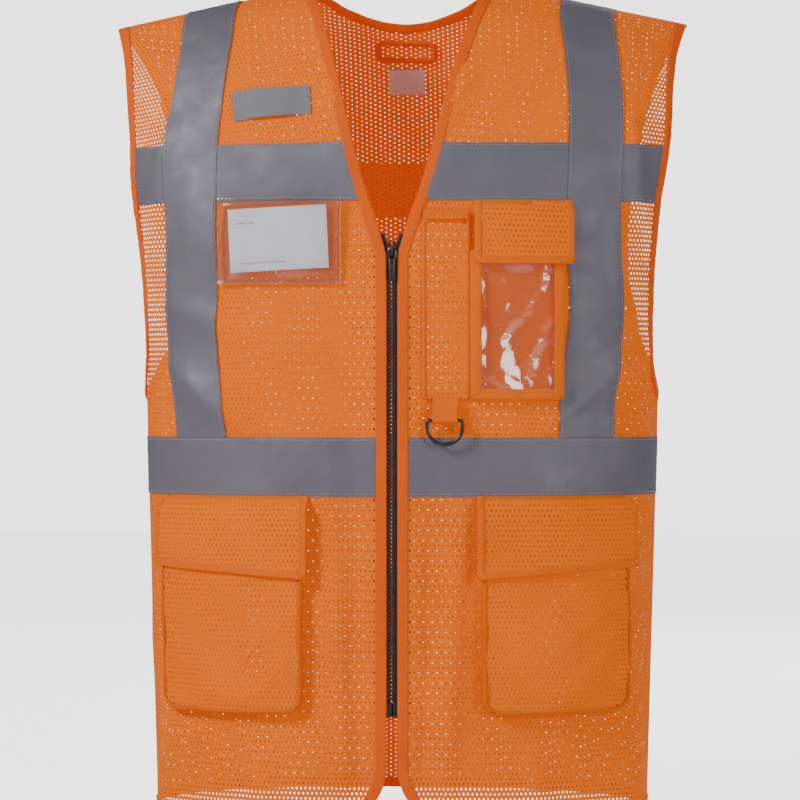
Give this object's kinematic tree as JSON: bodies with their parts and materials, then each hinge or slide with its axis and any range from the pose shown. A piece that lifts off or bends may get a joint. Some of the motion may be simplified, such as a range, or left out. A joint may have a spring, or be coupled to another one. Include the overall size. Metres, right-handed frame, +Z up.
{
  "type": "high visibility vest",
  "caption": "Sleeveless orange mesh work vest with a front zip, reflective bands and braces, flapped pockets, a clear badge holder and a D-ring.",
  "frame": {"origin": "middle of the body opening at hem level, level with the side seams", "axes": "+Z up to the shoulders, the front with the zip faces -Y, the wearer's left is +X"},
  "size_m": [0.5114, 0.2657, 0.7303],
  "materials": {
    "orange_mesh": "knitted polyester mesh",
    "orange_binding": "plain knit binding tape",
    "reflective_tape": "glass bead reflective tape, matt",
    "grey_webbing": "herringbone webbing",
    "black_textile": "woven zip tape",
    "black_plastic": "moulded acetal, satin",
    "black_metal": "black enamel",
    "clear_film": "clear flexible PVC",
    "white_card": "plain card",
    "white_label": "satin label, blank",
    "hook_and_loop": "hook and loop"
  },
  "bodies": {
    "back": {"back_panel": "orange_mesh", "back_waist_tape": "reflective_tape", "back_chest_tape": "reflective_tape", "back_brace_tape_left": "reflective_tape", "back_brace_tape_right": "reflective_tape", "back_neck_binding": "orange_binding", "back_hem_binding": "orange_binding", "back_armhole_binding_left": "orange_binding", "back_armhole_binding_right": "orange_binding", "hanger_loop": "orange_binding", "size_label": "white_label"},
    "front_left": {"front_panel_left": "orange_mesh", "front_edge_binding_left": "orange_binding", "front_armhole_binding_left": "orange_binding", "zip_tape_left": "black_textile", "zip_teeth_left": "black_plastic", "zip_insertion_pin": "black_plastic", "zip_top_stop_left": "black_plastic", "chest_tape_left": "reflective_tape", "waist_tape_left": "reflective_tape", "brace_tape_left": "reflective_tape", "lower_pocket_left": "orange_mesh", "pocket_loop_strip_left": "hook_and_loop", "phone_pocket": "orange_mesh", "phone_pocket_window": "clear_film", "phone_loop_strip": "hook_and_loop", "pen_pocket": "orange_mesh", "ring_loop": "orange_mesh"},
    "front_right": {"front_panel_right": "orange_mesh", "front_edge_binding_right": "orange_binding", "front_armhole_binding_right": "orange_binding", "zip_tape_right": "black_textile", "zip_teeth_right": "black_plastic", "zip_retainer_box": "black_plastic", "zip_top_stop_right": "black_plastic", "chest_tape_right": "reflective_tape", "waist_tape_right": "reflective_tape", "brace_tape_right": "reflective_tape", "lower_pocket_right": "orange_mesh", "pocket_loop_strip_right": "hook_and_loop", "badge_pocket": "clear_film", "mic_tab": "grey_webbing"},
    "flap_left": {"pocket_flap_left": "orange_mesh", "pocket_hook_strip_left": "hook_and_loop"},
    "flap_right": {"pocket_flap_right": "orange_mesh", "pocket_hook_strip_right": "hook_and_loop"},
    "phone_flap": {"phone_pocket_flap": "orange_mesh", "phone_hook_strip": "hook_and_loop"},
    "ring": {"d_ring": "black_plastic"},
    "slider": {"zip_slider": "black_metal"},
    "pull": {"zip_pull": "black_metal"},
    "card": {"id_card": "white_card"}
  },
  "joints": [
    {"name": "front_left_swing", "type": "hinge", "parent": "back", "child": "front_left", "pos_m": [0.2189, 0, 0], "axis": [0.028, 0, 0.9996], "range_deg": [0, 40], "stiffness_Nm_per_rad": 0.02},
    {"name": "front_right_swing", "type": "hinge", "parent": "back", "child": "front_right", "pos_m": [-0.2189, 0, 0], "axis": [0.028, 0, -0.9996], "range_deg": [0, 40], "stiffness_Nm_per_rad": 0.02},
    {"name": "flap_left_lift", "type": "hinge", "parent": "front_left", "child": "flap_left", "pos_m": [0.15063, -0.12279, 0.276], "axis": [-0.9394, -0.3428, 0], "range_deg": [0, 150]},
    {"name": "flap_right_lift", "type": "hinge", "parent": "front_right", "child": "flap_right", "pos_m": [-0.15063, -0.12279, 0.276], "axis": [-0.9394, 0.3428, 0], "range_deg": [0, 150]},
    {"name": "phone_flap_lift", "type": "hinge", "parent": "front_left", "child": "phone_flap", "pos_m": [0.11502, -0.12885, 0.529], "axis": [-0.9863, -0.1649, 0], "range_deg": [0, 150]},
    {"name": "ring_swing", "type": "hinge", "parent": "front_left", "child": "ring", "pos_m": [0.045, -0.1336, 0.3438], "axis": [-1, 0, 0], "range_deg": [0, 150]},
    {"name": "slider_run", "type": "slide", "parent": "front_right", "child": "slider", "axis": [0, 0, -1], "range_m": [0, 0.372]},
    {"name": "pull_flip", "type": "hinge", "parent": "slider", "child": "pull", "pos_m": [0, -0.13345, 0.487], "axis": [-1, 0, 0], "range_deg": [0, 165]},
    {"name": "card_slide", "type": "slide", "parent": "front_right", "child": "card", "axis": [0, 0, 1], "range_m": [0, 0.07]}
  ]
}
